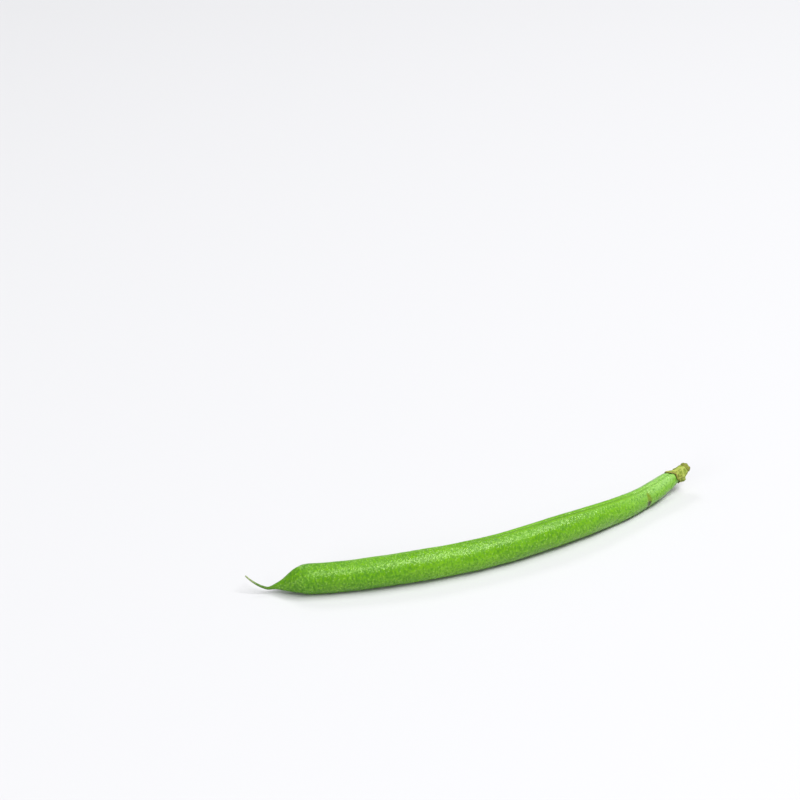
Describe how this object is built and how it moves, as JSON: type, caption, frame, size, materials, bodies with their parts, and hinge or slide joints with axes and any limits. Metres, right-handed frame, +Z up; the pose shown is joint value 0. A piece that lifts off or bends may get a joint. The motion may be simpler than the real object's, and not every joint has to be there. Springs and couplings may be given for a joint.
{
  "type": "green bean",
  "caption": "Long curved green bean pod with a hooked tail at its tip and a dried calyx and snapped stalk at its other end.",
  "frame": {"origin": "on the surface that the bean lies on, under the middle of its overall box", "axes": "+X along the bean from its tail to its stalk, +Y towards the hollow side of its bow, +Z up"},
  "size_m": [0.1514, 0.0282, 0.0095],
  "materials": {
    "pod_skin": "fresh waxy bean skin, satin gloss with a fine pebbled grain",
    "dry_calyx": "dried papery sepals, matt yellow-green with brown veins",
    "dry_stalk": "dried fibrous stalk, matt olive with a brown torn end"
  },
  "bodies": {
    "root": {"pod": "pod_skin", "calyx": "dry_calyx", "stalk": "dry_stalk"}
  },
  "joints": []
}
